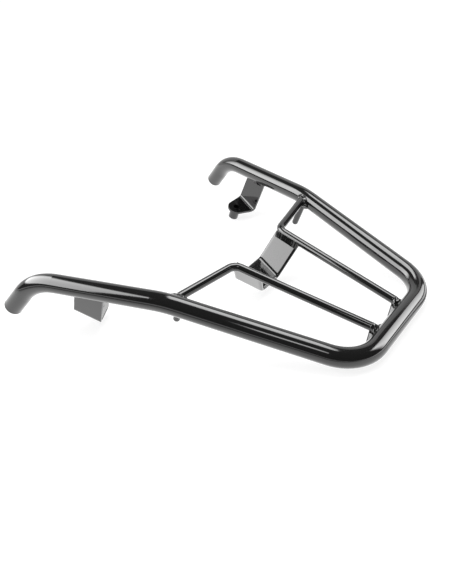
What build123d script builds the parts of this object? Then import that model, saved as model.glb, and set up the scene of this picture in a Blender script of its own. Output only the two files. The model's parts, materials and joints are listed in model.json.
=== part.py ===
from build123d import *
import math
import os

# A welded luggage carrier for a scooter or motorcycle: one bent tube, two bed rods, a centre
# bracket and two front straps that carry the bolt sleeves.
# Sizes are millimetres and degrees. The row stands as the carrier rests on a bench: on the
# lower rims of its two sleeves and on the rear bar of its bow. +Y points to the vehicle's front,
# +X to its right and +Z up, and the origin is on the bench under the middle of the carrier.
#
# Two tilted planes carry the pieces. The bed plane holds the bow and the rear half of the arms:
# its x = 0, y = 0 lies midway between the two bends where the arms start to fall away.
# The mount plane leans on the bed plane: the strap feet and the bracket floor lie along it.

# Main tube
tube_od = 22.0
tube_wall = 2.0
bow_half_width = 79.5  # middle plane to the sharp corner of the bow
bow_reach = 199.8  # arm bend to the axis of the bow's rear bar
bow_radius = 46.0
rear_flare = 16.9  # plan angle of the arm behind its bend, from straight ahead
arm_flare = 16.4  # plan angle of the arm in front of its bend
arm_length = 161.0
arm_drop_angle = 10.95  # fall of the front arm below the bed
arm_bend_radius = 138.0
nose_flare = 21.9
nose_drop_angle = 58.2
nose_length = 59.8  # nose corner to the outer face of the end plug
nose_radius = 65.0

# End plugs in the two open noses
plug_head = 2.5
plug_stem = 14.0
plug_stem_clearance = 0.1
plug_edge_round = 0.8

# Bed rods
rod_dia = 9.7
rod_bend_half_width = 46.1
rod_bend_back = 21.5  # rod bend behind the arm bend
rod_bend_radius = 12.0
rod_bend_rise = 4.8  # rod axis over the bed plane at its bend
rod_rear_half_width = 25.6  # at the axis of the rear bar
rod_rear_rise = 3.0
rod_arm_back = 3.4  # rod end behind the arm bend, on the arm's axis
rod_end_short = 6.0  # rear end of the rod in front of the rear bar's face

# Gussets under the rear rod ends
gusset_gauge = 4.0
gusset_half_width = 21.0  # along the rear bar
gusset_flare = 6.5  # where the flanks start to spread, in front of the rear bar's face
gusset_depth = 8.0  # tip of the tongue, in front of the rear bar's face
gusset_tongue_half_width = 4.6

# Hook pegs under the front rod ends
peg_dia = 8.0
peg_half_width = 123.6
peg_back = 4.2  # peg axis behind the rod axis
peg_drop = 35.9  # peg tip below the rod axis
peg_tip_round = 3.0

# Sheet brackets
mount_tilt = 10.5  # mount plane against the bed plane, lower at the rear

# Front straps, placed in the mount plane
strap_gauge = 3.0
strap_bend = 6.0  # bend radius at the middle of the sheet
strap_ahead = 95.7  # front edge ahead of the arm bends
strap_width = 31.8  # from its front edge back, along the vehicle
strap_inset = 1.6  # strap's middle inside the arm's axis, where it meets the tube
strap_lean = 4.0  # inwards towards the foot
foot_depth = 86.0  # underside of the foot below the mount plane
foot_end_radius = 12.0  # round the bolt sleeve
sleeve_half_width = 139.0
sleeve_ahead = 85.5  # of the arm bends

# Bolt sleeves through the feet, for M8 bolts
sleeve_od = 14.0
sleeve_bore = 8.5
sleeve_proud = 0.6  # over the foot's upper face
sleeve_drop = 16.0  # under the foot's lower face
sleeve_chamfer = 1.0

# Centre bracket between the rods
bracket_gauge = 4.5
bracket_bend = 5.5  # bend radius at the middle of the sheet
bracket_front = 18.3  # front edge behind the arm bends
bracket_width = 35.0
bracket_depth = 30.4  # underside below the mount plane
bracket_front_half_width = 25.5
bracket_rear_half_width = 16.5
bracket_bolt_hole = 9.0

# Welds
weld_leg = 3.0
rear_weld_lap = 1.5  # of the weld over the rod's rear end
rear_weld_proud = 0.8  # of the weld round the rod's rear end
rear_weld_toe = 2.0  # height of the weld on the gusset, at the rear bar's face
strap_weld_length = 17.0
strap_weld_leg = 4.0
bracket_weld_leg = 5.0
fit_up = 0.1  # gap left between pieces that are welded together

tube_radius = tube_od / 2
rod_radius = rod_dia / 2
peg_radius = peg_dia / 2
sleeve_radius = sleeve_od / 2
sleeve_top = -foot_depth + strap_gauge + sleeve_proud
sleeve_bottom = -foot_depth - sleeve_drop


def toward(flare, drop):
    """Direction of a right-hand arm piece in the bed plane's axes, from its plan angle and fall."""
    level = math.cos(math.radians(drop))
    across = math.sin(math.radians(flare)) * level
    ahead = math.cos(math.radians(flare)) * level
    return Vector(across, ahead, -math.sin(math.radians(drop)))


# Corner points of the right half of the main tube, in the bed plane's axes
bow_corner = Vector(bow_half_width, -bow_reach, 0)
arm_bend = bow_corner + Vector(bow_reach * math.tan(math.radians(rear_flare)), bow_reach, 0)
nose_corner = arm_bend + toward(arm_flare, arm_drop_angle) * arm_length
nose_direction = toward(nose_flare, nose_drop_angle)
plug_face = nose_corner + nose_direction * nose_length
tube_end = plug_face - nose_direction * plug_head

# The carrier tips back until the rear bar touches the bench behind the sleeves' lower rims
tilt_sin = math.sin(math.radians(mount_tilt))
tilt_cos = math.cos(math.radians(mount_tilt))
rim_ahead = sleeve_ahead - (sleeve_radius - sleeve_chamfer)
rim_y = rim_ahead * tilt_cos - sleeve_bottom * tilt_sin
rim_z = rim_ahead * tilt_sin + sleeve_bottom * tilt_cos
rim_run = rim_y + bow_reach
rest_tilt = math.atan2(-rim_z, rim_run) - math.asin(tube_radius / math.hypot(rim_run, rim_z))
bed_height = tube_radius + bow_reach * math.sin(rest_tilt)

# The origin lies midway between the rear of the bow and the rounded front rims of the plugs
level_bed = Plane((0, 0, bed_height)).rotated((math.degrees(rest_tilt), 0, 0))
rear_y = level_bed.from_local_coords(bow_corner).Y - tube_radius
nose_y = (level_bed.from_local_coords(plug_face) - level_bed.from_local_coords(tube_end)).Y / plug_head
plug_rim_y = (tube_radius - plug_edge_round) * math.sqrt(1 - nose_y**2) + plug_edge_round * (1 - nose_y)
front_y = level_bed.from_local_coords(plug_face).Y + plug_rim_y
bed = Plane((0, -(rear_y + front_y) / 2, bed_height)).rotated((math.degrees(rest_tilt), 0, 0))
mount = bed.rotated((mount_tilt, 0, 0))


def in_bed(point):
    """A point given in the bed plane's axes."""
    return bed.from_local_coords(point)


def in_mount(x, y, z):
    """A point given in the mount plane's axes."""
    return mount.from_local_coords((x, y, z))


def mirrored(point):
    """The same point on the left side."""
    return Vector(-point.X, point.Y, point.Z)


def between(start, end, share):
    """The point that lies a share of the way from start to end."""
    return start + (end - start) * share


def at_mount_y(start, end, ahead):
    """The point of a line, in the mount plane's axes, that lies this far ahead."""
    first = mount.to_local_coords(start)
    last = mount.to_local_coords(end)
    return between(first, last, (ahead - first.Y) / (last.Y - first.Y))


os.makedirs("parts", exist_ok=True)


def write(piece, name):
    """Name a finished piece and write its file."""
    piece.part.label = name
    export_step(piece.part, f"parts/{name}.step")


def write_pair(right, name):
    """Write a right-hand piece and its mirror image on the left."""
    write(right, f"{name}_right")
    with BuildPart() as left:
        mirror(right.part, about=Plane.YZ)
    write(left, f"{name}_left")


# Main tube: one length of round tube, bent six times
right_corners = [in_bed(point) for point in (tube_end, nose_corner, arm_bend, bow_corner)]
tube_corners = right_corners + [mirrored(point) for point in reversed(right_corners)]
right_radii = [nose_radius, arm_bend_radius, bow_radius]
with BuildLine() as tube_path:
    FilletPolyline(*tube_corners, radius=right_radii + right_radii[::-1])
tube_section = Plane(tube_path.line @ 0, z_dir=tube_path.line % 0)

with BuildPart() as main_tube:
    with BuildSketch(tube_section):
        Circle(tube_radius)
        Circle(tube_radius - tube_wall, mode=Mode.SUBTRACT)
    sweep(path=tube_path.line)
write(main_tube, "main_tube")

# The space that the tube takes, with the fit-up gap round it
with BuildPart() as tube_space:
    with BuildSketch(tube_section):
        Circle(tube_radius + fit_up)
    sweep(path=tube_path.line)

# End plug: a round head on the tube's end face, and a stem inside the tube
plug_seat = Plane(in_bed(tube_end), z_dir=in_bed(plug_face) - in_bed(tube_end))
with BuildPart() as end_plug:
    with BuildSketch(plug_seat):
        Circle(tube_radius)
    extrude(amount=plug_head)
    fillet(end_plug.faces().sort_by(Axis(plug_seat.origin, plug_seat.z_dir))[-1].edges(), plug_edge_round)
    with BuildSketch(plug_seat):
        Circle(tube_radius - tube_wall - plug_stem_clearance)
    extrude(amount=-plug_stem)
write_pair(end_plug, "end_plug")

# Bed rod: from the arm's side inwards, round its bend and back almost to the rear bar
rod_arm = in_bed(between(arm_bend, bow_corner, rod_arm_back / bow_reach))
rod_bend = in_bed(Vector(rod_bend_half_width, -rod_bend_back, rod_bend_rise))
rod_rear = in_bed(Vector(rod_rear_half_width, -bow_reach, rod_rear_rise))
rod_end_share = (tube_radius + rod_end_short) / (bow_reach - rod_bend_back)
rod_end = between(rod_rear, rod_bend, rod_end_share)
with BuildLine() as rod_path:
    FilletPolyline(rod_arm, rod_bend, rod_end, radius=rod_bend_radius)
rod_section = Plane(rod_path.line @ 0, z_dir=rod_path.line % 0)

with BuildPart() as bed_rod:
    with BuildSketch(rod_section):
        Circle(rod_radius)
    sweep(path=rod_path.line)
    add(tube_space.part, mode=Mode.SUBTRACT)
write_pair(bed_rod, "bed_rod")

# The space that the rod takes, with the fit-up gap round it
with BuildPart() as rod_space:
    with BuildSketch(rod_section):
        Circle(rod_radius + fit_up)
    sweep(path=rod_path.line)

# Rear gusset: a plate against the rear bar, with a tongue under the rod's end
rod_line = (rod_rear - rod_bend).normalized()
gusset_top = rod_radius + fit_up
gusset_plane = Plane(rod_rear, x_dir=(1, 0, 0), z_dir=rod_line.cross(Vector(1, 0, 0))).offset(-gusset_top)
rod_ahead = gusset_plane.to_local_coords(rod_bend)
flank_y = tube_radius + gusset_flare
tongue_y = tube_radius + gusset_depth
flank_x = flank_y * rod_ahead.X / rod_ahead.Y
tongue_x = tongue_y * rod_ahead.X / rod_ahead.Y
with BuildPart() as rear_gusset:
    with BuildSketch(gusset_plane):
        with BuildLine():
            Polyline(
                (-gusset_half_width, 0),
                (gusset_half_width, 0),
                (gusset_half_width, tube_radius),
                (flank_x + gusset_tongue_half_width, flank_y),
                (tongue_x + gusset_tongue_half_width, tongue_y),
                (tongue_x - gusset_tongue_half_width, tongue_y),
                (flank_x - gusset_tongue_half_width, flank_y),
                (-gusset_half_width, tube_radius),
                close=True,
            )
        make_face()
    extrude(amount=-gusset_gauge)
    add(tube_space.part, mode=Mode.SUBTRACT)
write_pair(rear_gusset, "rear_gusset")

# Hook peg: a round peg with a domed tip, square to the mount plane, behind the rod's end
peg_share = (rod_arm.X - peg_half_width) / (rod_arm.X - rod_bend.X)
peg_root = mount.to_local_coords(between(rod_arm, rod_bend, peg_share))
peg_plane = Plane(in_mount(peg_root.X, peg_root.Y - peg_back, peg_root.Z), z_dir=mount.z_dir)
with BuildPart() as hook_peg:
    with BuildSketch(peg_plane):
        Circle(peg_radius)
    extrude(amount=-peg_drop)
    fillet(hook_peg.faces().sort_by(Axis(peg_plane.origin, peg_plane.z_dir))[0].edges(), peg_tip_round)
    add(tube_space.part, mode=Mode.SUBTRACT)
    add(rod_space.part, mode=Mode.SUBTRACT)
write_pair(hook_peg, "hook_peg")

# Front strap: a bent sheet, cut to its outline along the mount plane and coped to the tube
strap_rear = strap_ahead - strap_width
strap_axis = at_mount_y(in_bed(arm_bend), in_bed(nose_corner), (strap_ahead + strap_rear) / 2)
strap_along = Vector(math.sin(math.radians(arm_flare)), math.cos(math.radians(arm_flare)), 0)
strap_inward = Vector(-strap_along.Y, strap_along.X, 0)
lean_share = math.tan(math.radians(strap_lean))
foot_middle = -foot_depth + strap_gauge / 2
strap_top_x = strap_inset - tube_radius * lean_share
strap_foot_x = strap_top_x + (strap_axis.Z - foot_middle) * lean_share
foot_end_x = strap_foot_x + 2 * strap_width
foot_root = strap_axis + strap_inward * strap_foot_x
foot_root += strap_along * ((strap_rear - foot_root.Y) / strap_along.Y)
strap_section = Plane(
    in_mount(strap_axis.X, strap_axis.Y, 0),
    x_dir=in_mount(*strap_inward) - in_mount(0, 0, 0),
    z_dir=in_mount(*strap_along) - in_mount(0, 0, 0),
)
with BuildPart() as front_strap:
    with BuildSketch(strap_section):
        with BuildLine() as strap_line:
            FilletPolyline(
                (strap_top_x, strap_axis.Z),
                (strap_foot_x, foot_middle),
                (foot_end_x, foot_middle),
                radius=strap_bend,
            )
        trace(strap_line.line, line_width=strap_gauge)
    extrude(amount=strap_width, both=True)
    with BuildSketch(mount.offset(-foot_depth)):
        with BuildLine():
            CenterArc((sleeve_half_width, sleeve_ahead), foot_end_radius, 0, 360)
            outside = strap_axis.X + strap_width
            inside = foot_root.X + strap_gauge / 2
            Polyline((inside, strap_rear), (outside, strap_rear), (outside, strap_ahead))
        make_hull()
    extrude(amount=foot_depth, mode=Mode.INTERSECT)
    with BuildSketch(mount.offset(-foot_depth)):
        with Locations((sleeve_half_width, sleeve_ahead)):
            Circle(sleeve_radius + fit_up)
    extrude(amount=strap_gauge, mode=Mode.SUBTRACT)
    add(tube_space.part, mode=Mode.SUBTRACT)
write_pair(front_strap, "front_strap")

# Bolt sleeve: a plain spacer tube that passes through the foot
sleeve_plane = Plane(in_mount(sleeve_half_width, sleeve_ahead, sleeve_bottom), z_dir=mount.z_dir)
with BuildPart() as bolt_sleeve:
    with BuildSketch(sleeve_plane):
        Circle(sleeve_radius)
        Circle(sleeve_bore / 2, mode=Mode.SUBTRACT)
    extrude(amount=sleeve_top - sleeve_bottom)
    sleeve_rims = bolt_sleeve.faces().sort_by(Axis(sleeve_plane.origin, sleeve_plane.z_dir))
    chamfer(sleeve_rims[0].outer_wire().edges(), sleeve_chamfer)
write_pair(bolt_sleeve, "bolt_sleeve")

# Centre bracket: a sheet trough hung between the rods, narrower at the rear
bracket_rear = bracket_front + bracket_width
bracket_floor = -bracket_depth + bracket_gauge / 2
with BuildPart() as centre_bracket:
    for back, half_width in (
        (bracket_front, bracket_front_half_width),
        (bracket_rear, bracket_rear_half_width),
    ):
        rod_point = at_mount_y(rod_bend, rod_rear, -back)
        with BuildSketch(Plane(in_mount(0, -back, 0), x_dir=(1, 0, 0), z_dir=-mount.y_dir)):
            with BuildLine() as bracket_line:
                FilletPolyline(
                    (-rod_point.X, rod_point.Z),
                    (-half_width, bracket_floor),
                    (half_width, bracket_floor),
                    (rod_point.X, rod_point.Z),
                    radius=bracket_bend,
                )
            trace(bracket_line.line, line_width=bracket_gauge)
    loft(ruled=True)
    with BuildSketch(mount.offset(-bracket_depth)):
        with Locations((0, -(bracket_front + bracket_rear) / 2)):
            Circle(bracket_bolt_hole / 2)
    extrude(amount=bracket_gauge, mode=Mode.SUBTRACT)
    add(rod_space.part, mode=Mode.SUBTRACT)
    mirror(rod_space.part, about=Plane.YZ, mode=Mode.SUBTRACT)
write(centre_bracket, "centre_bracket")

# Rear rod weld: a bead over the rod's end that slopes down to the gusset and the rear bar
weld_radius = rod_radius + rear_weld_proud
weld_start = rod_end - rod_line * rear_weld_lap
weld_end = rear_weld_lap + rod_end_short
weld_across = Plane(weld_start, x_dir=(1, 0, 0), z_dir=rod_line)
weld_up = gusset_plane.z_dir
weld_side = Plane(weld_start, x_dir=rod_line, z_dir=rod_line.cross(weld_up))
with BuildPart() as rod_rear_weld:
    with BuildSketch(weld_side):
        with BuildLine():
            Polyline(
                (0, -gusset_top),
                (0, weld_radius),
                (rear_weld_lap, weld_radius),
                (weld_end, rear_weld_toe - gusset_top),
                (weld_end + tube_radius, rear_weld_toe - gusset_top),
                (weld_end + tube_radius, -gusset_top),
                close=True,
            )
        make_face()
    extrude(amount=weld_radius, both=True)
    with BuildSketch(weld_across):
        Circle(weld_radius)
        with Locations(weld_across.to_local_coords(weld_start - weld_up * gusset_top / 2)):
            Rectangle(2 * weld_radius, gusset_top)
    extrude(amount=weld_end + tube_radius, mode=Mode.INTERSECT)
    add(tube_space.part, mode=Mode.SUBTRACT)
    add(rod_space.part, mode=Mode.SUBTRACT)
    add(rear_gusset.part, mode=Mode.SUBTRACT)
write_pair(rod_rear_weld, "rod_rear_weld")

# Front rod weld: where the tube and the rod, both grown by the weld's leg, run into each other
with BuildPart() as tube_weld_space:
    with BuildSketch(tube_section):
        Circle(tube_radius + weld_leg)
    sweep(path=tube_path.line)
with BuildPart() as rod_weld_space:
    with BuildSketch(rod_section):
        Circle(rod_radius + weld_leg)
    sweep(path=rod_path.line)
with BuildPart() as rod_front_weld:
    add(rod_weld_space.part)
    add(tube_weld_space.part, mode=Mode.INTERSECT)
    add(tube_space.part, mode=Mode.SUBTRACT)
    add(rod_space.part, mode=Mode.SUBTRACT)
    add(hook_peg.part, mode=Mode.SUBTRACT)
write_pair(rod_front_weld, "rod_front_weld")

# Peg weld: a collar round the peg, under the rod
with BuildPart() as peg_weld:
    with BuildSketch(peg_plane):
        Circle(peg_radius + weld_leg)
        Circle(peg_radius + fit_up, mode=Mode.SUBTRACT)
    extrude(amount=-peg_drop)
    add(rod_weld_space.part, mode=Mode.INTERSECT)
    add(rod_space.part, mode=Mode.SUBTRACT)
    add(tube_space.part, mode=Mode.SUBTRACT)
    add(rod_front_weld.part, mode=Mode.SUBTRACT)
write_pair(peg_weld, "peg_weld")

# Strap weld: a stitch along the rear of the strap's inner face, in the corner under the tube
strap_face_x = strap_inset + strap_gauge / 2
stitch_drop = math.sqrt(tube_radius**2 - strap_face_x**2)
arm_start = mount.to_local_coords(in_bed(arm_bend))
arm_slope = (strap_axis.Z - arm_start.Z) / (strap_axis.Y - arm_start.Y)
stitch_ends = []
for ahead in (strap_rear + weld_leg, strap_rear + weld_leg + strap_weld_length):
    axis_point = strap_axis + strap_along * ((ahead - strap_axis.Y) / strap_along.Y)
    axis_height = strap_axis.Z + arm_slope * (ahead - strap_axis.Y)
    corner = axis_point + strap_inward * strap_face_x
    stitch_ends.append(in_mount(corner.X, corner.Y, axis_height - stitch_drop))
stitch_plane = Plane(stitch_ends[0], z_dir=stitch_ends[1] - stitch_ends[0])
with BuildPart() as strap_beads:
    with BuildSketch(stitch_plane):
        Circle(strap_weld_leg)
    extrude(amount=(stitch_ends[1] - stitch_ends[0]).length)
    add(tube_space.part, mode=Mode.SUBTRACT)
    add(front_strap.part, mode=Mode.SUBTRACT)
with BuildPart() as strap_weld:
    add(strap_beads.solids().sort_by(SortBy.VOLUME)[-1])
write_pair(strap_weld, "strap_weld")

# Bracket weld: a bead along the inside of the bracket's leg, in the corner under the rod
bead_ends = []
for back, half_width in (
    (bracket_front + weld_leg, bracket_front_half_width),
    (bracket_rear - weld_leg, bracket_rear_half_width),
):
    rod_point = at_mount_y(rod_bend, rod_rear, -back)
    leg_down = Vector(half_width - rod_point.X, 0, bracket_floor - rod_point.Z).normalized()
    leg_inward = Vector(leg_down.Z, 0, -leg_down.X)
    corner_drop = math.sqrt(rod_radius**2 - (bracket_gauge / 2) ** 2)
    corner = rod_point + leg_down * corner_drop + leg_inward * (bracket_gauge / 2)
    bead_ends.append(in_mount(corner.X, corner.Y, corner.Z))
with BuildPart() as bracket_beads:
    with BuildSketch(Plane(bead_ends[0], z_dir=bead_ends[1] - bead_ends[0])):
        Circle(bracket_weld_leg)
    extrude(amount=(bead_ends[1] - bead_ends[0]).length)
    add(rod_space.part, mode=Mode.SUBTRACT)
    add(centre_bracket.part, mode=Mode.SUBTRACT)
with BuildPart() as bracket_weld:
    add(bracket_beads.solids().sort_by(SortBy.VOLUME)[-1])
write_pair(bracket_weld, "bracket_weld")

# Sleeve weld: a sloping collar under the foot
with BuildPart() as sleeve_weld:
    with BuildSketch(Plane(in_mount(sleeve_half_width, sleeve_ahead, -foot_depth), z_dir=-mount.z_dir)):
        Circle(sleeve_radius + weld_leg)
    extrude(amount=weld_leg, taper=45)
    with BuildSketch(sleeve_plane):
        Circle(sleeve_radius + fit_up)
    extrude(amount=sleeve_top - sleeve_bottom, mode=Mode.SUBTRACT)
write_pair(sleeve_weld, "sleeve_weld")
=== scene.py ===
import json
import bmesh
import bpy
import numpy as np
from mathutils import Matrix, Vector


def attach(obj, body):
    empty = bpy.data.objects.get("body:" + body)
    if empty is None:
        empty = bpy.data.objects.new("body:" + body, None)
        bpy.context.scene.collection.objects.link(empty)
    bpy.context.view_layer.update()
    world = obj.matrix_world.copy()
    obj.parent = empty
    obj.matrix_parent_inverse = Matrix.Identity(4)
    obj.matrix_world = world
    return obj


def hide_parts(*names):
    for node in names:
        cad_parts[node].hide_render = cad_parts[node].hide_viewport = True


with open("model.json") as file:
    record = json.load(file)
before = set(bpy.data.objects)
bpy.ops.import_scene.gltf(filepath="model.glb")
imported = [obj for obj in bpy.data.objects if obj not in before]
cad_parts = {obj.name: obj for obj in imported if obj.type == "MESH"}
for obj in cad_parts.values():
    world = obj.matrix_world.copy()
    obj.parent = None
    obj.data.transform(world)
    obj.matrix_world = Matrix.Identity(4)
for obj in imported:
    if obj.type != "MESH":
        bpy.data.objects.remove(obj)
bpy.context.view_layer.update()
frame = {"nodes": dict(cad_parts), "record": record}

nodes = frame["nodes"]
mm = 0.001
mergeReach = 0.002 * mm  # corners nearer than this are one corner
creaseFrom = np.radians(38.0)  # edges that turn more than this are drawn sharp
print("carrier loaded:", len(nodes), "solids")


# sRGB hex to linear light
def linear(hexColour):
    srgb = np.array([int(hexColour[i:i + 2], 16) for i in (1, 3, 5)]) / 255
    low = srgb / 12.92
    high = ((srgb + 0.055) / 1.055) ** 2.4
    return (*np.where(srgb <= 0.04045, low, high).tolist(), 1.0)


# one node, its settings, and its inputs: a value is set, a socket is linked
def addNode(tree, kind, inputs=None, **settings):
    node = tree.nodes.new("ShaderNode" + kind)
    for name, value in settings.items():
        setattr(node, name, value)
    for key, value in (inputs or {}).items():
        if isinstance(value, bpy.types.NodeSocket):
            tree.links.new(value, node.inputs[key])
        else:
            node.inputs[key].default_value = value
    return node


# a clean node tree with its output node
def newTree(name):
    material = bpy.data.materials.new(name)
    material.use_nodes = True
    material.node_tree.nodes.clear()
    return material, material.node_tree, material.node_tree.nodes.new("ShaderNodeOutputMaterial")


# a new object in the scene
def newObject(name, data):
    item = bpy.data.objects.new(name, data)
    bpy.context.scene.collection.objects.link(item)
    return item


# a surface over two parameters: points[i, j] become a sheet of quads, joined round where it closes
def gridMesh(name, points, closeU=False, closeV=False):
    rows, cols = points.shape[:2]
    i = np.arange(rows if closeU else rows - 1)[:, None]
    j = np.arange(cols if closeV else cols - 1)[None, :]
    nextI = (i + 1) % rows
    nextJ = (j + 1) % cols
    corners = [i * cols + j, nextI * cols + j, nextI * cols + nextJ, i * cols + nextJ]
    quads = np.stack(corners, -1).reshape(-1, 4)
    mesh = bpy.data.meshes.new(name)
    mesh.from_pydata(points.reshape(-1, 3), [], quads)
    mesh.polygons.foreach_set("use_smooth", np.ones(len(mesh.polygons), bool))
    mesh.update()
    return newObject(name, mesh)


# one closed skin from a sheet: doubles merged, faces outwards
def closeSkin(mesh):
    skin = bmesh.new()
    skin.from_mesh(mesh)
    bmesh.ops.remove_doubles(skin, verts=skin.verts, dist=mergeReach)
    bmesh.ops.recalc_face_normals(skin, faces=skin.faces)
    skin.to_mesh(mesh)
    skin.free()


# Gloss black powder coat on steel: a thick, self-levelled film, baked on.
# It gives the eye a near-black body, sharp reflections and a very slight orange peel.
coatLook = {
    "body": "#121212",
    "bodyWorn": "#181818",
    "ior": 1.6,
    "roughness": 0.075,
    "glossSpread": (0.8, 1.25),  # times the roughness, from the clear to the wiped patches
    "peelSize": 2.6,  # mm from crest to crest
    "peelDepth": 0.0016,  # mm
    "peelDetail": 1.0,
    "dustSize": 0.5,  # mm, fine nibs in the film
    "dustShare": 0.08,  # of the peel's depth
    "dustDetail": 2.0,
    "hazeSize": 34.0,  # mm, faint wiped patches
    "hazeRange": (0.3, 0.7),  # of the noise, from clear to wiped
    "hazeDetail": 5.0,
}
# On the welds the film runs thicker and peels more.
weldLook = {**coatLook, "peelSize": 1.6, "peelDepth": 0.003}
# Black polyethylene, moulded: a dull skin with the mould's fine grain.
plugLook = {
    **coatLook, "body": "#1c1c1c", "roughness": 0.42, "ior": 1.51, "peelSize": 0.9, "peelDepth": 0.006}


def blackFinish(name, look):
    material, tree, out = newTree(name)
    place = addNode(tree, "TexCoord").outputs["Object"]
    noise = {}
    for kind in ("haze", "peel", "dust"):
        scale = 1 / (look[kind + "Size"] * mm)
        detail = look[kind + "Detail"]
        texture = addNode(tree, "TexNoise", {"Vector": place, "Scale": scale, "Detail": detail})
        noise[kind] = texture.outputs["Fac"]
    colours = {6: linear(look["body"]), 7: linear(look["bodyWorn"])}  # the mix's two colour sockets
    body = addNode(tree, "Mix", {"Factor": noise["haze"], **colours}, data_type="RGBA")
    clear, wiped = look["hazeRange"]
    clearGloss, wipedGloss = look["glossSpread"]
    gloss = addNode(tree, "MapRange", {
        "Value": noise["haze"], "From Min": clear, "From Max": wiped,
        "To Min": look["roughness"] * clearGloss, "To Max": look["roughness"] * wipedGloss})
    peelBump = addNode(tree, "Bump", {"Height": noise["peel"], "Distance": look["peelDepth"] * mm})
    nibBump = addNode(tree, "Bump", {
        "Height": noise["dust"], "Distance": look["peelDepth"] * look["dustShare"] * mm,
        "Normal": peelBump.outputs["Normal"]})
    coat = addNode(tree, "BsdfPrincipled", {
        "Base Color": body.outputs[2], "Roughness": gloss.outputs["Result"], "IOR": look["ior"],
        "Normal": nibBump.outputs["Normal"]})
    tree.links.new(coat.outputs["BSDF"], out.inputs["Surface"])
    return material


coats = {
    "tube_coat": blackFinish("gloss_black_powder_coat_tube", coatLook),
    "rod_coat": blackFinish("gloss_black_powder_coat_rod", {**coatLook, "peelDepth": 0.0012}),
    "sheet_coat": blackFinish("gloss_black_powder_coat_sheet", {**coatLook, "roughness": 0.09}),
    "weld_coat": blackFinish("gloss_black_powder_coat_weld", weldLook),
    "plug_plastic": blackFinish("moulded_black_polyethylene", plugLook),
}
slotOf = {part["node"]: part["material_slot"] for part in frame["record"]["subparts"]}
for nodeName, solid in nodes.items():
    for k in range(len(solid.material_slots)):
        solid.material_slots[k].material = coats[slotOf[nodeName]]
print("coats assigned")

# The carrier's two planes as it rests: the bed carries the rods, the mount carries the feet and the bracket
carrier = {
    "bedTilt": 14.095,  # degrees about X
    "mountTilt": 24.595,
    "origin": (0.0, 0.904, 59.658),  # mm, where both planes start
    "tubeRadius": 11.0,
    "armBend": (140.2, 0.0, 0.0),  # bed, sharp corner of the arm's axis
    "armBendRadius": 138.0,
    "bowCorner": (79.5, -199.8, 0.0),  # bed
    "noseCorner": (184.8, 151.6, -30.6),  # bed
    "rodRadius": 4.85,
    "rodArm": (139.17, -3.4, 0.0),  # bed, where the rod's axis meets the arm's
    "rodBend": (46.1, -21.5, 4.8),  # bed
    "rodRear": (25.6, -199.8, 3.0),  # bed, over the rear bar's axis
}


# a point or a direction of a tilted plane, turned about X
def turned(tilt, points):
    angle = np.radians(tilt)
    x, y, z = np.moveaxis(np.asarray(points, float), -1, 0)
    return np.stack([x, y * np.cos(angle) - z * np.sin(angle), y * np.sin(angle) + z * np.cos(angle)], -1)


def inBed(points):
    return turned(carrier["bedTilt"], points) + np.array(carrier["origin"])


def inMount(points):
    return turned(carrier["mountTilt"], points) + np.array(carrier["origin"])


def unit(vectors):
    return vectors / np.linalg.norm(vectors, axis=-1, keepdims=True)


def smooth(low, high, value):
    share = np.clip((value - low) / (high - low), 0, 1)
    return share * share * (3 - 2 * share)


# from one value to another, softly, while the measure crosses a span
def blend(first, last, span, measure):
    return first + (last - first) * smooth(*span, measure)


# what is left of a direction once its part along an axis is taken out
def without(axis, direction):
    return direction - np.sum(direction * axis, -1, keepdims=True) * axis


def squareTo(axis, direction):
    return unit(without(axis, direction))


# rows of a sheet with both ends drawn in to a point
def closedEnds(rows):
    ends = rows[[0, -1]].mean(axis=1, keepdims=True) + 0 * rows[[0, -1]]
    return np.concatenate([ends[:1], rows, ends[1:]])


handSwells = (2, 3, 5)  # slow swells of the welder's hand in each bead
buried = 0.3  # of a bead's legs, how deep its back lies in the two walls


# weld bead: a section carried along its root line, from toe A to toe B on the two walls.
# Across, a curve with three control points that bulges by the crown; along, ripples bowed like stacked
# coins, and three slow swells of the welder's hand. An open bead rounds off to nothing at both ends.
def beadPoints(root, toeA, toeB, look, closed):
    step = np.linalg.norm(np.diff(root, axis=0, append=root[:1]), axis=1)
    total = step.sum() if closed else step[:-1].sum()
    share = ((np.cumsum(step) - step) / total)[:, None]
    phase = 2 * np.pi * share
    t = np.linspace(0, 1, look["across"])[None, :]
    ripples = round(total / look["pitch"])
    wave = np.cos(ripples * phase + look["bow"] * (2 * t - 1) ** 2) * np.sin(np.pi * t)
    hand = sum(np.sin(k * phase + k * k * look["seed"]) for k in handSwells) / len(handSwells)
    size = 1 + look["swell"] * hand
    if not closed:
        fromEnd = np.clip(np.minimum(share, 1 - share) * total / look["endRound"], 0, 1)
        size = size * np.sqrt(1 - (1 - fromEnd) ** 2)
    size = size[:, :, None]
    t = t[:, :, None]
    a = toeA[:, None, :] * size
    b = toeB[:, None, :] * size
    face = (1 - t) ** 2 * a + 2 * t * (1 - t) * look["crown"] * (a + b) + t**2 * b
    face = face + unit(toeA + toeB)[:, None, :] * wave[:, :, None] * look["ripple"] * np.minimum(size, 1)
    back = -buried * (a + b)
    return root[:, None, :] + np.concatenate([face, back], axis=1)


# coat a piece, and let it ride in place of its solid
def standIn(piece, nodeName, coatName):
    piece.data.materials.append(coats[coatName])
    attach(piece, "root")
    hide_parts(nodeName)


# a finished piece from the points of its closed sheet, in mm
def dress(name, points, nodeName, closeU, coatName="weld_coat"):
    piece = gridMesh(name, points * mm, closeU, True)
    closeSkin(piece.data)
    standIn(piece, nodeName, coatName)
    return piece


sides = {"right": (1.0, 0.4), "left": (-1.0, 1.7)}  # sign of x, and where the hand's swells start


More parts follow.
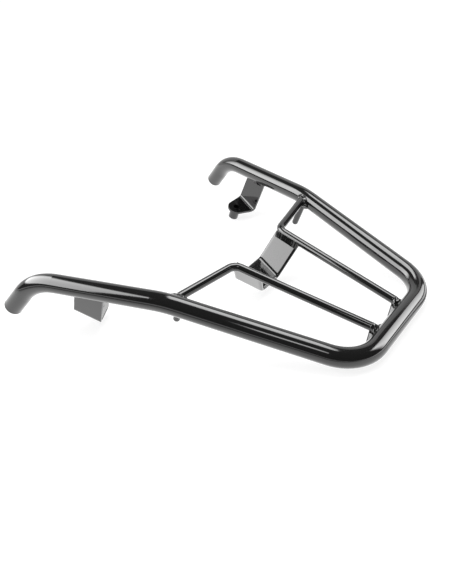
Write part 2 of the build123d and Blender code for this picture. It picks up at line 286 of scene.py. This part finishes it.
# the same bead on both sides of the carrier, with the hand's swells in other places
def layBeads(beadName, weldName, root, toeA, toeB, bead, closed):
    for side, (sign, seed) in sides.items():
        points = beadPoints(root, toeA, toeB, {**bead, "seed": seed + bead["hand"]}, closed)
        dress(f"{beadName}_{side}", points * [sign, 1, 1], f"{weldName}_{side}", closed)


# how far a toe goes in to stay on the round tube
def tubeSink(bead):
    return bead["sink"] + bead["leg"] ** 2 / 2 / carrier["tubeRadius"]


# straight root line of a bead in the mount: the share along it, its points and its direction
def straightRoot(bead):
    share = np.linspace(0, 1, bead["along"])[:, None]
    root = inMount(np.array(bead["from"]) * (1 - share) + np.array(bead["to"]) * share)
    return share, root, unit(root[1:2] - root[:1])


# ring in the mount: its angles and its outward directions
def ring(around):
    angle = np.linspace(0, 2 * np.pi, around, endpoint=False)[:, None]
    return angle, np.concatenate([np.cos(angle), np.sin(angle), 0 * angle], 1)


mountDown = turned(carrier["mountTilt"], (0, 0, -1.0))[None, :]

# Bead round the rod's front end, where it meets the bent arm
frontBead = {"leg": 3.8, "sink": 0.25, "crown": 0.86, "pitch": 3.8, "ripple": 0.36, "bow": 1.4, "swell": 0.22,
             "searchReach": 40.0, "halvings": 40,  # mm along the rod, and how often that is halved
             "hand": 0, "across": 14, "around": 220}


# saddle line: for each angle round the rod, the place along it where the arm's skin begins.
# The arm's axis is an arc there, so the distance to it is the distance to a circle in space.
def saddle(bead):
    armBend, bowCorner, noseCorner = (inBed(carrier[key]) for key in ("armBend", "bowCorner", "noseCorner"))
    toBow = unit(bowCorner - armBend)
    toNose = unit(noseCorner - armBend)
    inwards = unit(toBow + toNose)
    spin = unit(np.cross(toBow, toNose))
    halfCorner = np.arccos(np.dot(toBow, toNose)) / 2
    arcCentre = armBend + inwards * carrier["armBendRadius"] / np.sin(halfCorner)
    start = inBed(carrier["rodArm"])
    along = unit(inBed(carrier["rodBend"]) - start)
    level = unit(np.cross(along, [0, 0, 1]))
    angle = np.linspace(0, 2 * np.pi, bead["around"], endpoint=False)[:, None]
    rodOut = np.cos(angle) * level + np.sin(angle) * np.cross(level, along)

    def rodSkin(distance):
        return start + along * distance + rodOut * carrier["rodRadius"]

    def fromArm(points):
        away = points - arcCentre
        flat = away - (away @ spin)[:, None] * spin
        return points - (arcCentre + unit(flat) * carrier["armBendRadius"])

    near = np.zeros_like(angle)
    far = np.full_like(angle, bead["searchReach"])
    for halving in range(bead["halvings"]):
        middle = (near + far) / 2
        gap = np.linalg.norm(fromArm(rodSkin(middle)), axis=1)[:, None]
        within = gap < carrier["tubeRadius"]
        near = np.where(within, middle, near)
        far = np.where(within, far, middle)
    root = rodSkin(near)
    armOut = unit(fromArm(root))
    path = unit(np.roll(root, -1, 0) - np.roll(root, 1, 0))
    onRod = squareTo(path, along)
    onArm = squareTo(path, without(armOut, rodOut))
    return root, rodOut, armOut, onRod, onArm


root, rodOut, armOut, onRod, onArm = saddle(frontBead)
toeRod = onRod * frontBead["leg"] - rodOut * frontBead["sink"]
toeArm = onArm * frontBead["leg"] - armOut * tubeSink(frontBead)
layBeads("rod_front_bead", "rod_front_weld", root, toeRod, toeArm, frontBead, True)

# Stitch on the strap's inner face, in the corner under the arm
stitch = {"from": (157.9, 66.6, -37.0), "to": (163.3, 85.0, -44.4),  # mount
          "strapIn": (-0.959, 0.282, 0.0),  # mount, out of the strap's inner face
          "armOut": (-0.270, 0.080, -0.960),  # mount, out of the arm
          "leg": 4.4, "sink": 0.3, "crown": 0.64, "pitch": 3.4, "ripple": 0.13, "bow": 1.5, "swell": 0.10,
          "endRound": 5.0, "hand": 0, "across": 14, "along": 120}
share, root, path = straightRoot(stitch)
strapIn, armOut = (turned(carrier["mountTilt"], stitch[key])[None, :] for key in ("strapIn", "armOut"))
onStrap = squareTo(path, without(strapIn, mountDown))
onArm = squareTo(path, without(armOut, strapIn))
toeStrap = onStrap * stitch["leg"] - strapIn * stitch["sink"]
toeArm = onArm * stitch["leg"] - armOut * tubeSink(stitch)
layBeads("strap_stitch", "strap_weld", root, toeStrap, toeArm, stitch, False)

# Bead inside each leg of the bracket, in the corner under the rod
bracketBead = {"from": (42.12, -19.6, 5.87), "to": (38.05, -53.3, 11.93),  # mount
               "legFront": (-0.483, 0.0, -0.876), "legRear": (-0.527, 0.0, -0.850),  # mount, down the leg
               "rodTurn": 54.0, "proud": 0.2,  # degrees that it climbs round the rod, and mm off it there
               "lean": 0.464,  # sine of the angle from the leg to the rod's own outward way
               "leg": 6.0, "sink": 0.25, "crown": 0.53, "pitch": 3.6, "ripple": 0.012, "bow": 1.5,
               "swell": 0.02, "endRound": 2.0, "hand": 1, "across": 14, "along": 180}
share, root, path = straightRoot(bracketBead)
legFront, legRear = (turned(carrier["mountTilt"], bracketBead[key]) for key in ("legFront", "legRear"))
onLeg = squareTo(path, legFront * (1 - share) + legRear * share)
legIn = unit(np.cross(onLeg, path))  # out of the leg's inner face
rodOut = unit(onLeg * np.sqrt(1 - bracketBead["lean"] ** 2) + legIn * bracketBead["lean"])
onRod = squareTo(rodOut, legIn)
toeLeg = onLeg * bracketBead["leg"] - legIn * bracketBead["sink"]
rodTurn = np.radians(bracketBead["rodTurn"])
climb = onRod * np.sin(rodTurn) - rodOut * (1 - np.cos(rodTurn))
offRod = rodOut * np.cos(rodTurn) + onRod * np.sin(rodTurn)
toeRod = climb * carrier["rodRadius"] + offRod * bracketBead["proud"]
layBeads("bracket_bead", "bracket_weld", root, toeLeg, toeRod, bracketBead, False)

# Ring under the foot, round the sleeve
sleeveBead = {"centre": (139.0, 85.5, -86.0), "radius": 7.0,  # mount, on the foot's underside
              "leg": 2.1, "sink": 0.2, "crown": 0.76, "pitch": 2.6, "ripple": 0.14, "bow": 1.3, "swell": 0.10,
              "hand": 2, "across": 12, "around": 180}
angle, outwards = ring(sleeveBead["around"])
root = inMount(np.array(sleeveBead["centre"]) + outwards * sleeveBead["radius"])
outwards = turned(carrier["mountTilt"], outwards)
toeSleeve = mountDown * sleeveBead["leg"] - outwards * sleeveBead["sink"]
toeFoot = outwards * sleeveBead["leg"] - mountDown * sleeveBead["sink"]
layBeads("sleeve_bead", "sleeve_weld", root, toeSleeve, toeFoot, sleeveBead, True)

# Bead round the cord peg, under the rod: it follows the rod's skin, lies low on the peg's free side,
# and fills the corner between the peg and the arm with a web
pegBead = {"centre": (123.6, -10.37, 1.96), "radius": 4.0,  # mount
           "rodAhead": 4.2,  # mm from the peg's axis to the rod's
           "leastSquare": 0.4,  # mm squared, for the height from the rod's axis down to its skin
           "leg": 2.8, "freeLeg": 1.2, "freeSpan": (4.0, 6.5),  # mm from the rod's axis, where it shortens
           "webWay": -38.0, "webSpan": (0.2, 0.95),  # degrees from +X, and the cosines between which it grows
           "webDown": 4.2, "webOut": 5.2, "webDrop": 2.6,  # what the web adds to the two legs
           "sink": 0.25, "crown": 0.76, "pitch": 2.6, "ripple": 0.2, "bow": 1.3, "swell": 0.16,
           "hand": 3, "across": 12, "around": 160}
angle, outwards = ring(pegBead["around"])
fromRod = pegBead["rodAhead"] - pegBead["radius"] * np.sin(angle)
depth = np.sqrt(np.maximum(carrier["rodRadius"] ** 2 - fromRod**2, pegBead["leastSquare"]))
root = inMount(np.array(pegBead["centre"]) + outwards * pegBead["radius"] - depth * np.array([0, 0, 1.0]))
outwards = turned(carrier["mountTilt"], outwards)
reach = blend(pegBead["leg"], pegBead["freeLeg"], pegBead["freeSpan"], fromRod)
webShare = smooth(*pegBead["webSpan"], np.cos(angle - np.radians(pegBead["webWay"])))
toePeg = mountDown * (pegBead["leg"] + pegBead["webDown"] * webShare) - outwards * pegBead["sink"]
toeRod = outwards * (reach + pegBead["webOut"] * webShare)
toeRod = toeRod + mountDown * (pegBead["webDrop"] * webShare - pegBead["sink"])
layBeads("peg_bead", "peg_weld", root, toePeg, toeRod, pegBead, True)

# Weld heap over the rod's rear end: a blunt, slightly lumpy hood that falls and spreads back to the rear bar.
# Sizes are from the rod's axis, spans are shares of the heap's length.
heap = {"start": -18.4, "length": 11.4,  # mm ahead of the rear bar's axis, and back from there
        "top": 5.25, "toe": -0.7, "fallSpan": (0.15, 0.95),
        "width": 4.75, "spread": 8.2, "spreadSpan": (0.2, 0.85),
        "base": -4.9, "baseDeep": 0.3,  # its flat base, and how far a lump goes below
        "mouthIn": 0.3, "mouthSpan": (0.0, 0.12),  # its front rim rolls in to the rod by this share
        "lump": 0.035, "lumpSpan": (0.0, 0.2), "lumpWaves": ((3, 9, 2), (0, 7, 1), (2, -13, 5)),
        "fine": 0.02, "fineWaves": ((6, 21, 1), (-2, 17, 0)),
        "along": 64, "around": 96}
rodRear = inBed(carrier["rodRear"])
rodBack = unit(rodRear - inBed(carrier["rodBend"]))
heapUp = unit(np.cross(rodBack, [1.0, 0, 0]))
heapSide = np.cross(heapUp, rodBack)
u = np.linspace(0, 1, heap["along"])[:, None, None]
v = np.linspace(0, 2 * np.pi, heap["around"], endpoint=False)[None, :, None]
back = heap["start"] + heap["length"] * u
top = blend(heap["top"], heap["toe"], heap["fallSpan"], u)
halfWidth = blend(heap["width"], heap["spread"], heap["spreadSpan"], u)
mouth = 1 - heap["mouthIn"] * (1 - smooth(*heap["mouthSpan"], u))


# waves over the heap: their counts round it and along it, and times the hand's start
def heapWaves(counts, seed):
    return [np.sin(around * v + along * u + hand * seed) for around, along, hand in counts]


for side, (sign, seed) in sides.items():
    broadWave, longWave, crossWave = heapWaves(heap["lumpWaves"], seed)
    fineWave, fineCross = heapWaves(heap["fineWaves"], seed)
    lump = heap["lump"] * (broadWave * longWave + crossWave) * smooth(*heap["lumpSpan"], u)
    lump = (1 + lump + heap["fine"] * fineWave * fineCross) * mouth
    upHeap = (top + heap["base"]) / 2 + (top - heap["base"]) / 2 * np.sin(v) * lump
    upHeap = np.maximum(upHeap, heap["base"] - heap["baseDeep"])
    rows = rodRear + rodBack * back + heapSide * halfWidth * np.cos(v) * lump + heapUp * upHeap
    dress(f"rod_rear_heap_{side}", closedEnds(rows) * [sign, 1, 1], f"rod_rear_weld_{side}", False)
print("weld beads laid")

# Front straps: the solids' shape with the rolled edge that shearing and a thick coat leave
rolling = {"reach": 0.9, "drop": 0.8, "steps": 7,  # mm in from the rim, mm down at the rim, rings between
           "sameSkin": 25.0, "flatJoin": 0.5,  # degrees
           "flatWeight": 80}  # how far large faces decide the shading


# the two broad skins of a sheet: faces that run on into each other without a crease, the largest two sets
def broadSkins(skin):
    left = set(skin.faces)
    skins = []
    while left:
        grown = set()
        waiting = [left.pop()]
        while waiting:
            face = waiting.pop()
            grown.add(face)
            for border in face.edges:
                for other in border.link_faces:
                    if other in left and other.normal.angle(face.normal) < np.radians(rolling["sameSkin"]):
                        left.discard(other)
                        waiting.append(other)
        skins.append(grown)
    return sorted(skins, key=lambda faces: -sum(face.calc_area() for face in faces))[:2]


# copy of a solid, its triangles merged, its broad skins lowered to a quarter ellipse along their rims
def rolledCopy(nodeName):
    solid = nodes[nodeName].data
    places = np.empty(len(solid.vertices) * 3)
    solid.vertices.foreach_get("co", places)
    corners = np.empty(len(solid.loops), np.int32)
    solid.loops.foreach_get("vertex_index", corners)
    mesh = bpy.data.meshes.new(nodeName + "_rolled")
    mesh.from_pydata(places.reshape(-1, 3), [], corners.reshape(-1, 3))
    skin = bmesh.new()
    skin.from_mesh(mesh)
    bmesh.ops.remove_doubles(skin, verts=skin.verts, dist=mergeReach)
    flatJoin = np.radians(rolling["flatJoin"])
    bmesh.ops.dissolve_limit(skin, angle_limit=flatJoin, verts=skin.verts, edges=skin.edges)
    skin.normal_update()
    turns = np.linspace(0, np.pi / 2, rolling["steps"] + 1)
    moves = {}
    for broad in broadSkins(skin):
        for turn, nextTurn in zip(turns, [*turns[1:], None]):
            outer = (vert for face in broad for vert in face.verts)
            rim = {vert for vert in outer if any(other not in broad for other in vert.link_faces)}
            sunk = rolling["drop"] * mm * (1 - np.sin(turn))
            for vert in rim:
                facing = sum((face.normal for face in vert.link_faces if face in broad), Vector())
                moves[vert] = facing.normalized() * -sunk
            if nextTurn is not None:
                inset = rolling["reach"] * mm * (np.cos(turn) - np.cos(nextTurn))
                bmesh.ops.inset_region(
                    skin, faces=list(broad), thickness=inset, use_even_offset=True, use_boundary=True)
    for vert, move in moves.items():
        vert.co += move
    skin.normal_update()
    skin.to_mesh(mesh)
    skin.free()
    mesh.polygons.foreach_set("use_smooth", np.ones(len(mesh.polygons), bool))
    mesh.set_sharp_from_angle(angle=creaseFrom)
    piece = newObject(nodeName + "_rolled", mesh)
    flat = piece.modifiers.new("flat_faces", "WEIGHTED_NORMAL")
    flat.weight = rolling["flatWeight"]
    flat.keep_sharp = True
    standIn(piece, nodeName, "sheet_coat")


for side in sides:
    rolledCopy(f"front_strap_{side}")
print("strap edges rolled")

# Gusset under the rod's rear end: a web against the rear bar, roofed. Its crest runs under the rod, its two
# flanks fall away evenly along the bar, and its front edge is rounded. Heights are from the rod's axis.
web = {"reach": 24.5, "depth": 6.8, "edge": 1.3,  # mm to each side, ahead of the bar's face, round its edge
       "crest": -2.6, "soft": 3.5, "fall": 0.28,  # the roof's top, its bend there, mm down for each mm aside
       "keel": -8.9, "least": 0.05,  # its underside, and the least thickness left
       "seat": 10.0, "barDown": 3.0,  # its rear edge in the bar's wall, from the bar's axis, and that below
       "across": 97, "along": 40, "crowd": 1.6}  # its rows crowd to the front edge
webAhead = np.cross(heapUp, [1.0, 0, 0])
rodSkew = rodBack[0] / np.dot(rodBack, webAhead)  # the rod's run to the side for each mm ahead
aside = np.linspace(-1, 1, web["across"])[:, None] * web["reach"]
share = np.linspace(0, 1, web["along"])[None, :] ** web["crowd"]
taper = 1 - np.abs(aside) / web["reach"]
front = carrier["tubeRadius"] + web["depth"] * taper
roof = web["crest"] - web["fall"] * (np.hypot(aside, web["soft"]) - web["soft"])
seatTop = np.sqrt(web["seat"] ** 2 - (roof + web["barDown"]) ** 2)
seatKeel = np.sqrt(web["seat"] ** 2 - (web["keel"] + web["barDown"]) ** 2)
aheadTop = front + (seatTop - front) * share
rounding = 1 - np.clip((front - aheadTop) / web["edge"], 0, 1)
upTop = np.maximum(roof - web["edge"] * (1 - np.sqrt(1 - rounding**2)), web["keel"] + web["least"])
aheadKeel = (front + (seatKeel - front) * share)[:, ::-1]
aheadWeb = np.concatenate([aheadTop, aheadKeel], axis=1)[..., None]
upWeb = np.concatenate([upTop, np.full_like(aheadKeel, web["keel"])], axis=1)[..., None]
acrossWeb = aside[..., None] + aheadWeb * rodSkew * taper[..., None]
rows = rodRear + acrossWeb * np.array([1.0, 0, 0]) + aheadWeb * webAhead + upWeb * heapUp
for side, (sign, seed) in sides.items():
    points = closedEnds(rows) * [sign, 1, 1]
    gusset = dress(f"gusset_web_{side}", points, f"rear_gusset_{side}", False, "sheet_coat")
    gusset.data.set_sharp_from_angle(angle=creaseFrom)
print("gussets roofed")

# Centre bracket: a trough of thick sheet, with the broad rollover that the press leaves along its two long
# edges. A trough line runs down one leg, round a bend, over the floor and up the other leg; front and rear
# lines are joined by straight rulings. Round the line goes a section as wide as the sheet, thinned along both
# edges to a quarter ellipse.
trough = {"front": -18.3, "rear": -53.3, "floor": -28.15, "gauge": 4.5, "bend": 8.5,  # mount
          "rodFront": (46.33, 8.29), "rodRear": (42.24, 14.42),  # mount, x and z of the rod's axis
          "floorFront": 25.5, "floorRear": 16.5,  # half the floor's width
          "legIn": 3.4,  # mm from the rod's axis to the leg's end, inside the rod's skin
          "reach": 3.8, "drop": 1.8,  # mm in from the long edges, and down at them
          "hole": 4.5, "holeSides": 96, "holeTurn": 0.4,  # turned so that no corner is on the middle line
          "perLeg": 24, "perBend": 16, "perFloor": 30, "perEdge": 12, "perWidth": 20}


# trough line at one end: corners rounded by the bend, and its normal, up out of the floor
def troughLine(rodPlace, floorHalf):
    corner = np.array([floorHalf, trough["floor"]])
    upLeg = unit(np.array(rodPlace) - corner)
    legTop = np.array(rodPlace) - upLeg * trough["legIn"]
    half = np.arccos(-upLeg[0]) / 2
    setback = trough["bend"] / np.tan(half)
    legFoot = corner + upLeg * setback
    floorEnd = corner + np.array([-setback, 0])
    centre = corner + unit(upLeg + np.array([-1.0, 0])) * trough["bend"] / np.sin(half)
    leg = legTop + (legFoot - legTop) * np.linspace(0, 1, trough["perLeg"])[:, None]
    start = legFoot - centre
    end = floorEnd - centre
    bendTurn = np.arctan2(start[0] * end[1] - start[1] * end[0], start @ end)
    sweepBend = np.linspace(0, bendTurn, trough["perBend"])[1:, None]
    spun = np.array([-start[1], start[0]])
    arc = centre + start * np.cos(sweepBend) + spun * np.sin(sweepBend)
    floorX = np.linspace(floorEnd[0], 0, trough["perFloor"])[1:]
    floorLine = np.stack([floorX, np.full_like(floorX, trough["floor"])], 1)
    legUp = np.tile(-unit(start), (len(leg), 1))
    floorUp = np.tile([0.0, 1.0], (len(floorLine), 1))
    line = np.concatenate([leg, arc, floorLine])
    normal = np.concatenate([legUp, -(arc - centre) / trough["bend"], floorUp])
    line = np.concatenate([line, line[-2::-1] * [-1, 1]])
    normal = np.concatenate([normal, normal[-2::-1] * [-1, 1]])
    return line, normal


frontLine, frontUp = troughLine(trough["rodFront"], trough["floorFront"])
rearLine, rearUp = troughLine(trough["rodRear"], trough["floorRear"])
width = trough["front"] - trough["rear"]
rimTurn = np.linspace(0, np.pi / 2, trough["perEdge"])
rimIn = trough["reach"] * (1 - np.cos(rimTurn))
rimHigh = trough["gauge"] / 2 - trough["drop"] * (1 - np.sin(rimTurn))
flatIn = np.linspace(trough["reach"], width - trough["reach"], trough["perWidth"])[1:-1]
acrossSheet = np.concatenate([rimIn, flatIn, width - rimIn[::-1]])
high = np.concatenate([rimHigh, np.full(len(flatIn), trough["gauge"] / 2), rimHigh[::-1]])
acrossSheet = np.concatenate([acrossSheet, acrossSheet[::-1]])[None, :, None]
high = np.concatenate([high, -high[::-1]])[None, :, None]
share = acrossSheet / width
sheet = frontLine[:, None] * (1 - share) + rearLine[:, None] * share
sheet = sheet + unit(frontUp[:, None] * (1 - share) + rearUp[:, None] * share) * high
sheetY = trough["front"] - acrossSheet[..., 0] + 0 * sheet[..., 0]
points = np.stack([sheet[..., 0], sheetY, sheet[..., 1]], -1)
bracket = dress("bracket_pressing", inMount(closedEnds(points)), "centre_bracket", False, "sheet_coat")

# Bolt hole, cut through the bracket's floor
angle = ((np.arange(trough["holeSides"]) + trough["holeTurn"]) * 2 * np.pi / trough["holeSides"])[None, :]
tall = np.array([-1.0, -1.0, 1.0, 1.0])[:, None] * trough["gauge"] + trough["floor"]
radius = np.array([0.0, 1.0, 1.0, 0.0])[:, None] * trough["hole"]
holeY = (trough["front"] + trough["rear"]) / 2 + radius * np.sin(angle)
drillPoints = np.stack([radius * np.cos(angle), holeY, tall + 0 * angle], -1)
drill = gridMesh("bolt_drill", inMount(drillPoints) * mm, False, True)
closeSkin(drill.data)
cut = bracket.modifiers.new("bolt_hole", "BOOLEAN")
cut.operation = "DIFFERENCE"
cut.solver = "EXACT"
cut.object = drill
drilled = bpy.data.meshes.new_from_object(bracket.evaluated_get(bpy.context.evaluated_depsgraph_get()))
bracket.modifiers.remove(cut)
bracket.data = drilled
bpy.data.objects.remove(drill)
drilled.set_sharp_from_angle(angle=creaseFrom)
print("bracket pressed:", len(drilled.polygons), "faces")

# Studio: pale sweep, and soft boxes that show only in the gloss. Sizes are in metres.
studio = {
    "floorSize": 12.0,
    "floorPoints": 9,
    "sweepRadius": 5.0,
    "sweepFrom": -20.0,
    "sweepTo": 100.0,
    "sweepHeight": 4.2,
    "sweepPoints": (40, 8),
    "panelPoints": 5,
    "pale": "#ffffff",
    "dull": "#959595",
    "room": "#656565",
    "nearGlow": 0.86,  # of the floor by the carrier, where its shadow shows
    "farGlow": 1.0,
    "nearReach": 0.5,  # from the middle
    "farReach": 1.4,
}


# matt white paper: a dull white that keeps shadows, and glows for the camera and for gloss
def paleCard(name):
    material, tree, out = newTree(name)
    path = addNode(tree, "LightPath")
    rays = {0: path.outputs["Is Camera Ray"], 1: path.outputs["Is Glossy Ray"]}
    seen = addNode(tree, "Math", rays, operation="MAXIMUM")
    place = addNode(tree, "TexCoord").outputs["Object"]
    away = addNode(tree, "VectorMath", {0: place}, operation="LENGTH")
    glow = addNode(tree, "MapRange", {
        "Value": away.outputs["Value"], "From Min": studio["nearReach"], "From Max": studio["farReach"],
        "To Min": studio["nearGlow"], "To Max": studio["farGlow"]}, interpolation_type="SMOOTHSTEP")
    level = addNode(tree, "Math", {0: seen.outputs[0], 1: glow.outputs["Result"]}, operation="MULTIPLY")
    dull = addNode(tree, "BsdfDiffuse", {"Color": linear(studio["dull"])})
    shine = addNode(tree, "Emission", {"Color": linear(studio["pale"]), "Strength": level.outputs[0]})
    both = addNode(tree, "AddShader", {0: dull.outputs[0], 1: shine.outputs[0]})
    tree.links.new(both.outputs[0], out.inputs["Surface"])
    return material


paleSweep = paleCard("matt_white_paper_sweep")
half = studio["floorSize"] / 2
across = np.linspace(-half, half, studio["floorPoints"])
floorX, floorY = np.meshgrid(across, across, indexing="ij")
floor = gridMesh("pale_floor", np.stack([floorX, floorY, np.zeros_like(floorX)], -1))
floor.data.materials.append(paleSweep)

sweepAround, sweepUp = studio["sweepPoints"]
turn = np.radians(np.linspace(studio["sweepTo"], studio["sweepFrom"], sweepAround))[:, None]
rise = np.linspace(0, studio["sweepHeight"], sweepUp)[None, :]
sweepPoints = np.stack([
    studio["sweepRadius"] * np.sin(turn) + 0 * rise,
    studio["sweepRadius"] * np.cos(turn) + 0 * rise,
    rise + 0 * turn], -1)
sweep = gridMesh("pale_backdrop", sweepPoints)
sweep.data.materials.append(paleSweep)


# direction from compass angle (from +Y towards +X) and height angle
def heading(azimuth, elevation):
    a = np.radians(azimuth)
    e = np.radians(elevation)
    return np.array([np.sin(a) * np.cos(e), np.cos(a) * np.cos(e), np.sin(e)])


# soft boxes and bounce cards, in metres: a compass angle, a distance along the floor, a shift to the right
# and a height give the middle. Lean turns the face from level (0) to downwards (90) or upwards (-90).
# Levels are at the left and the right edge; rims are the share of the panel over which the light fades:
# left, right, low and high.
softBoxes = {
    "front_left_box": {
        "azimuth": -36, "distance": 0.8, "shift": 0.13, "middle": 0.745, "lean": 0,
        "width": 1.54, "height": 1.11, "levels": (6.2, 11.5), "rims": (0.03, 0.42, 0.05, 0.2)},
    "overhead_box": {
        "azimuth": 63, "distance": 0.667, "shift": 0.228, "middle": 1.6, "lean": 90,
        "width": 0.98, "height": 1.48, "levels": (8.0, 8.0), "rims": (0.1, 0.1, 0.24, 0.22)},
    "rear_right_box": {
        "azimuth": 120, "distance": 0.8, "shift": 0.28, "middle": 0.43, "lean": 0,
        "width": 0.68, "height": 0.74, "levels": (4.2, 13.0), "rims": (0.06, 0.45, 0.12, 0.1)},
    "left_patch": {
        "azimuth": -124, "distance": 0.72, "shift": 0.0, "middle": 0.8, "lean": 48,
        "width": 0.33, "height": 0.24, "levels": (6.0, 6.0), "rims": (0.3, 0.3, 0.3, 0.3)},
    "floor_card": {
        "azimuth": 65, "distance": 0.6, "shift": 0.0, "middle": 0.0002, "lean": -90,
        "width": 2.4, "height": 1.9, "levels": (1.75, 1.75), "rims": (0.1, 0.1, 0.1, 0.1)},
    "rear_card": {
        "azimuth": 150, "distance": 0.5, "shift": 0.0, "middle": 0.0004, "lean": -90,
        "width": 0.9, "height": 0.56, "levels": (3.0, 3.0), "rims": (0.3, 0.3, 0.1, 0.06)},
}


# soft box: a flat panel that faces the carrier and fades at its rims
def softBox(name, box):
    out = heading(box["azimuth"], box["lean"])
    level = heading(box["azimuth"], 0)
    side = np.cross(level, [0, 0, 1])
    up = np.cross(side, out)
    middle = level * box["distance"] + side * box["shift"] + np.array([0, 0, box["middle"]])
    count = studio["panelPoints"]
    places = np.linspace(-0.5, 0.5, count)
    points = middle + side * places[:, None, None] * box["width"] + up * places[None, :, None] * box["height"]
    panel = gridMesh(name, points)
    layer = panel.data.uv_layers.new(name="panel")
    corner = np.zeros(len(panel.data.loops), np.int32)
    panel.data.loops.foreach_get("vertex_index", corner)
    shares = np.stack([corner // count, corner % count], -1).astype(np.float32) / (count - 1)
    layer.data.foreach_set("uv", shares.ravel())
    material, tree, outNode = newTree(name + "_cloth")
    uv = addNode(tree, "UVMap", uv_map="panel").outputs["UV"]
    axes = addNode(tree, "SeparateXYZ", {"Vector": uv})
    leftLevel, rightLevel = box["levels"]
    strength = addNode(tree, "MapRange", {
        "Value": axes.outputs["X"], "To Min": leftLevel, "To Max": rightLevel}).outputs["Result"]
    rimPlaces = (("X", 0.0, 1.0), ("X", 1.0, -1.0), ("Y", 0.0, 1.0), ("Y", 1.0, -1.0))
    for (axis, edge, way), rim in zip(rimPlaces, box["rims"]):
        fade = addNode(tree, "MapRange", {
            "Value": axes.outputs[axis], "From Min": edge, "From Max": edge + way * rim,
            "To Min": 0.0, "To Max": 1.0}, interpolation_type="SMOOTHSTEP").outputs["Result"]
        strength = addNode(tree, "Math", {0: fade, 1: strength}, operation="MULTIPLY").outputs[0]
    shine = addNode(tree, "Emission", {"Strength": strength})
    tree.links.new(shine.outputs[0], outNode.inputs["Surface"])
    panel.data.materials.append(material)
    panel.visible_camera = False
    panel.visible_diffuse = False
    panel.visible_shadow = False


for boxName, box in softBoxes.items():
    softBox(boxName, box)

lamps = {
    "key_lamp": {"azimuth": -38, "elevation": 48, "distance": 2.2, "size": 1.6, "power": 34},
    "top_lamp": {"azimuth": 85, "elevation": 78, "distance": 2.0, "size": 1.6, "power": 26},
}
for lampName, lamp in lamps.items():
    data = bpy.data.lights.new(lampName, "AREA")
    data.shape = "SQUARE"
    data.size = lamp["size"]
    data.energy = lamp["power"]
    light = newObject(lampName, data)
    out = Vector(heading(lamp["azimuth"], lamp["elevation"]))
    lampTurn = out.to_track_quat("Z", "Y").to_matrix().to_4x4()
    light.matrix_world = Matrix.Translation(out * lamp["distance"]) @ lampTurn
    light.visible_glossy = False
    light.visible_camera = False

world = bpy.data.worlds.new("dim_room")
bpy.context.scene.world = world
world.use_nodes = True
world.node_tree.nodes["Background"].inputs["Color"].default_value = linear(studio["room"])
print("studio lit")

# Camera: the photograph's place, aim and lean
viewPoint = {
    "eye": (-504.43, -390.90, 413.15),  # mm
    "aim": (-71.88, -25.75, 40.0),  # mm
    "lean": -6.94,  # degrees, right side turned up
    "lens": 38.07,  # mm
    "film": 36.0,  # mm along the longer side
    "nearest": 10.0,  # mm
}
eye = Vector(viewPoint["eye"]) * mm
aim = Vector(viewPoint["aim"]) * mm
cameraData = bpy.data.cameras.new("photo_camera")
cameraData.sensor_fit = "AUTO"
cameraData.sensor_width = viewPoint["film"]
cameraData.lens = viewPoint["lens"]
cameraData.clip_start = viewPoint["nearest"] * mm
camera = newObject("photo_camera", cameraData)
aimTurn = (aim - eye).to_track_quat("-Z", "Y").to_matrix().to_4x4()
leanTurn = Matrix.Rotation(np.radians(viewPoint["lean"]), 4, "Z")
camera.matrix_world = Matrix.Translation(eye) @ aimTurn @ leanTurn
bpy.context.scene.camera = camera
bpy.context.scene.view_settings.view_transform = "Standard"
print("camera placed")
